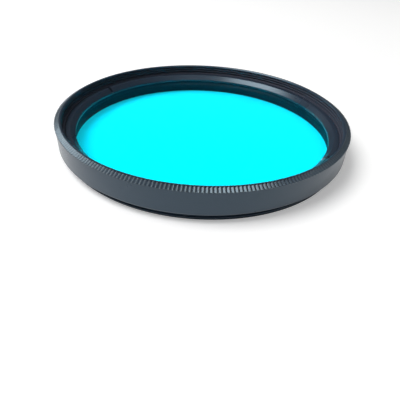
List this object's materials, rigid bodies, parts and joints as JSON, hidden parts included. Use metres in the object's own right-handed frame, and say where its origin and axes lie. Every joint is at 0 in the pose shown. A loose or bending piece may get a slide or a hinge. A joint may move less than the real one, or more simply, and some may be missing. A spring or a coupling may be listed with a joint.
{
  "type": "screw-in infrared cut filter",
  "caption": "Round cyan infrared cut filter glass clamped by a slotted retaining ring in a thin black knurled screw-in ring with front and rear threads.",
  "frame": {"origin": "centre of the rear end face, on the optical axis", "axes": "+Z along the optical axis, from the rear thread towards the knurled front rim"},
  "size_m": [0.08, 0.08, 0.0089],
  "materials": {
    "ring_anodised": "black anodised, satin",
    "cyan_glass": "polished, coated",
    "retainer_anodised": "black anodised, satin"
  },
  "bodies": {
    "root": {"mount_ring": "ring_anodised", "filter_glass": "cyan_glass", "retaining_ring": "retainer_anodised"}
  },
  "joints": []
}
